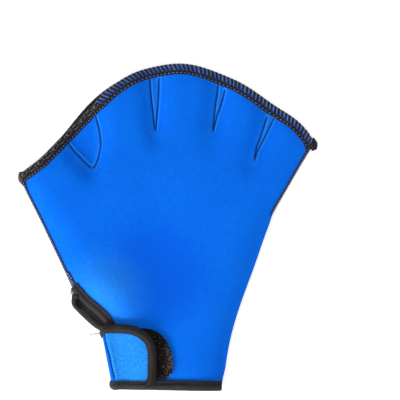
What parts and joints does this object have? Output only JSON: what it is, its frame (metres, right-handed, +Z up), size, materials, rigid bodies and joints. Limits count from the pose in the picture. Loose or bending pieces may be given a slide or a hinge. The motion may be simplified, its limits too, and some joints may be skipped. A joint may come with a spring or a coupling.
{
  "type": "webbed swim glove",
  "caption": "Webbed swim glove of foam rubber lying flat, with open finger ends, thread-edged webbing and a wrist strap with hook-and-loop closure.",
  "frame": {"origin": "middle of the base of the box round the glove as it lies", "axes": "+Y from the wrist to the finger ends, -X to the thumb, +Z up from the surface on which it lies"},
  "size_m": [0.2032, 0.225, 0.0164],
  "materials": {
    "panel_sheet": "smooth knit face on foam rubber, saturated blue, matt with a faint sheen",
    "strap_sheet": "smooth knit face on thin foam rubber, lighter blue",
    "edge_tape": "woven black edge tape with a row of stitches",
    "edge_thread": "black polyester thread, looped round the edge",
    "fastener": "black hook-and-loop tape, fuzzy"
  },
  "bodies": {
    "root": {"back_panel": "panel_sheet", "front_panel": "panel_sheet", "front_finger_overlock": "edge_thread", "back_finger_overlock": "edge_thread", "thumb_side_seam": "edge_thread", "little_finger_side_seam": "edge_thread", "front_slit_binding": "edge_tape", "back_slit_binding": "edge_tape", "front_hem_binding": "edge_tape", "back_hem_binding": "edge_tape", "closure_strap": "strap_sheet", "strap_binding": "edge_tape", "loop_patch": "fastener", "hook_patch": "fastener"}
  },
  "joints": []
}
